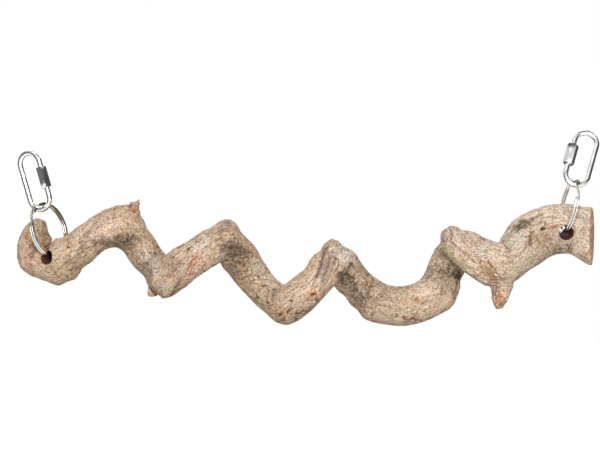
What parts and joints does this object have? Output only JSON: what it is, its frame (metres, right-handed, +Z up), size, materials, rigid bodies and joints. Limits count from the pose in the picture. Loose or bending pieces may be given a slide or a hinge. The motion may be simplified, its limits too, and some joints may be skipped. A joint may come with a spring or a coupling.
{
  "type": "bird perch",
  "caption": "Hanging bird perch: a length of twisted corkscrew vine with bark, drilled near both ends, hung from a split ring and a screw-gate quick link at each end.",
  "frame": {"origin": "where a hook bears in the top bow of the left quick link", "axes": "+X along the perch from the left end to the cut end, +Y towards the back, +Z up"},
  "size_m": [0.407, 0.0524, 0.1369],
  "materials": {
    "vine_bark": "raw bark, light tan and grey-brown",
    "spring_steel": "nickel-plated spring steel",
    "link_steel": "polished zinc-plated steel",
    "nut_steel": "bright turned and zinc-plated steel"
  },
  "bodies": {
    "perch": {"perch_branch": "vine_bark"},
    "ring_left": {"left_ring": "spring_steel"},
    "ring_right": {"right_ring": "spring_steel"},
    "link_left": {"left_link": "link_steel"},
    "link_right": {"right_link": "link_steel"},
    "nut_left": {"left_link_nut": "nut_steel"},
    "nut_right": {"right_link_nut": "nut_steel"}
  },
  "joints": [
    {"name": "left_ring_swing", "type": "hinge", "parent": "perch", "child": "ring_left", "pos_m": [0.01933, 0, -0.0674], "axis": [0.4806, 0.866, 0.1378], "range_deg": [-22, 35]},
    {"name": "right_ring_swing", "type": "hinge", "parent": "perch", "child": "ring_right", "pos_m": [0.3726, 0.0039, -0.05142], "axis": [-0.1356, 0.9903, 0.0313], "range_deg": [-50, 42]},
    {"name": "left_link_swing", "type": "hinge", "parent": "ring_left", "child": "link_left", "pos_m": [0.0096, 0, -0.03349], "axis": [0.4806, 0.866, 0.1378], "range_deg": [-45, 50]},
    {"name": "right_link_swing", "type": "hinge", "parent": "ring_right", "child": "link_right", "pos_m": [0.38072, 0.0039, -0.01624], "axis": [-0.1356, 0.9903, 0.0313], "range_deg": [-65, 75]},
    {"name": "left_nut_travel", "type": "slide", "parent": "link_left", "child": "nut_left", "axis": [0.2756, 0, -0.9613], "range_m": [0, 0.0055]},
    {"name": "right_nut_travel", "type": "slide", "parent": "link_right", "child": "nut_right", "axis": [-0.2904, -0.342, -0.8937], "range_m": [0, 0.0055]}
  ]
}
